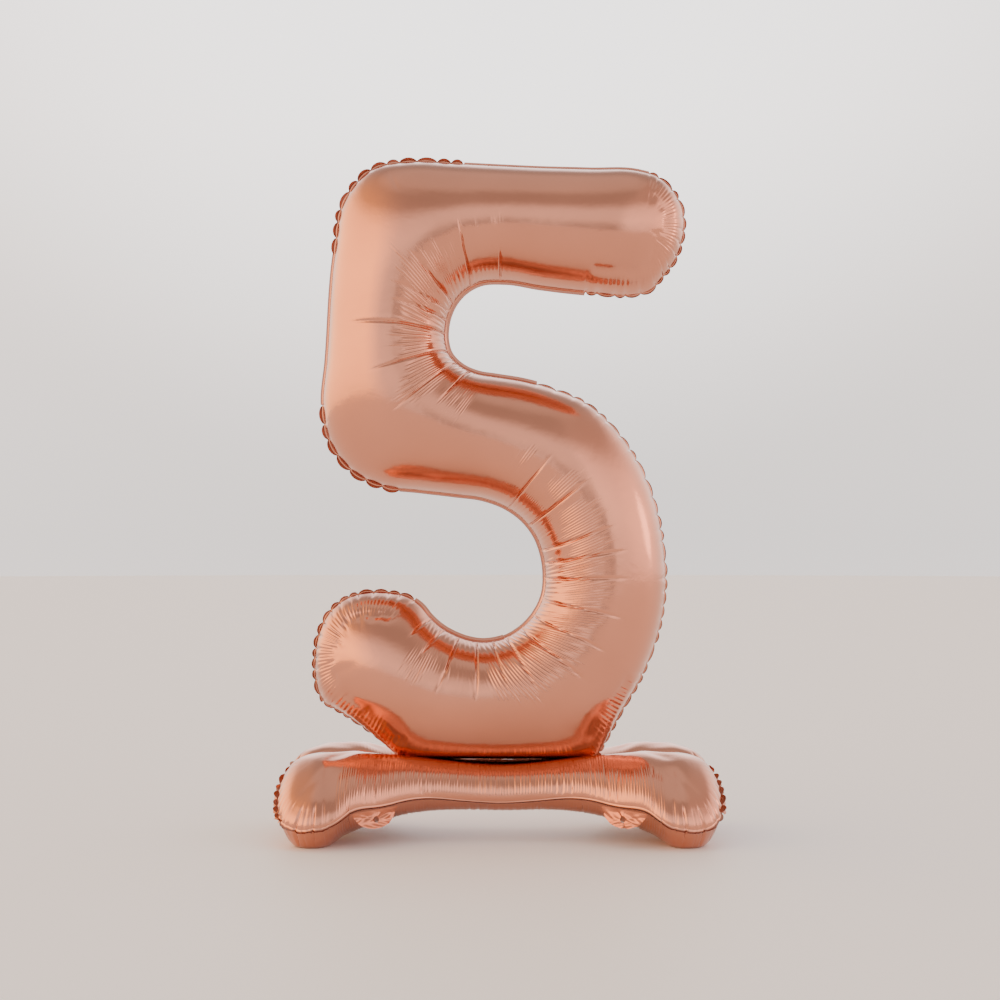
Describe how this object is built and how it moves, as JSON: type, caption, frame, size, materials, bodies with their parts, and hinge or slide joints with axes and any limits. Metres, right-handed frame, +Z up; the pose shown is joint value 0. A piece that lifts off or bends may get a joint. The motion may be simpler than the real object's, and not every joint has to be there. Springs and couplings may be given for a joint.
{
  "type": "foil number balloon",
  "caption": "Air-filled metallic foil numeral five, free-standing on a splayed foil cushion foot with small hang tabs.",
  "frame": {"origin": "on the floor under the middle of the foot", "axes": "+Z up, -Y towards the front of the numeral, +X to the viewer's right"},
  "size_m": [0.478, 0.2496, 0.7412],
  "materials": {
    "numeral_foil": "crinkled rose-gold metallised film",
    "foot_foil": "crinkled rose-gold metallised film",
    "seam_film": "welded rose-gold film, satin",
    "tab_film": "flat welded rose-gold film",
    "valve_film": "milky plastic film"
  },
  "bodies": {
    "foot": {"neck_weld_strip": "seam_film", "front_base_top_foil": "foot_foil", "front_base_bottom_foil": "foot_foil", "rear_base_top_foil": "foot_foil", "rear_base_bottom_foil": "foot_foil", "base_centre_seam_left": "seam_film", "base_centre_seam_right": "seam_film", "base_valve_top_film": "valve_film", "base_valve_bottom_film": "valve_film"},
    "numeral": {"number_front_foil": "numeral_foil", "number_back_foil": "numeral_foil", "number_valve_front_film": "valve_film", "number_valve_back_film": "valve_film"},
    "tab_front_left": {"front_left_hang_tab": "tab_film"},
    "tab_front_right": {"front_right_hang_tab": "tab_film"},
    "tab_rear_left": {"rear_left_hang_tab": "tab_film"},
    "tab_rear_right": {"rear_right_hang_tab": "tab_film"}
  },
  "joints": [
    {"name": "number_lean", "type": "hinge", "parent": "foot", "child": "numeral", "pos_m": [0, 0, 0.0837], "axis": [1, 0, 0], "range_deg": [-4, 4], "stiffness_Nm_per_rad": 1},
    {"name": "front_left_tab_fold", "type": "hinge", "parent": "foot", "child": "tab_front_left", "pos_m": [-0.1305, -0.09565, 0.04045], "axis": [-0.8368, -0.5403, -0.0891], "range_deg": [-15, 75], "stiffness_Nm_per_rad": 0.0002},
    {"name": "front_right_tab_fold", "type": "hinge", "parent": "foot", "child": "tab_front_right", "pos_m": [0.1305, -0.09565, 0.04045], "axis": [-0.8368, 0.5403, 0.0891], "range_deg": [-15, 75], "stiffness_Nm_per_rad": 0.0002},
    {"name": "rear_left_tab_fold", "type": "hinge", "parent": "foot", "child": "tab_rear_left", "pos_m": [-0.1305, 0.09565, 0.04045], "axis": [0.8368, -0.5403, 0.0891], "range_deg": [-15, 75], "stiffness_Nm_per_rad": 0.0002},
    {"name": "rear_right_tab_fold", "type": "hinge", "parent": "foot", "child": "tab_rear_right", "pos_m": [0.1305, 0.09565, 0.04045], "axis": [0.8368, 0.5403, -0.0891], "range_deg": [-15, 75], "stiffness_Nm_per_rad": 0.0002}
  ]
}
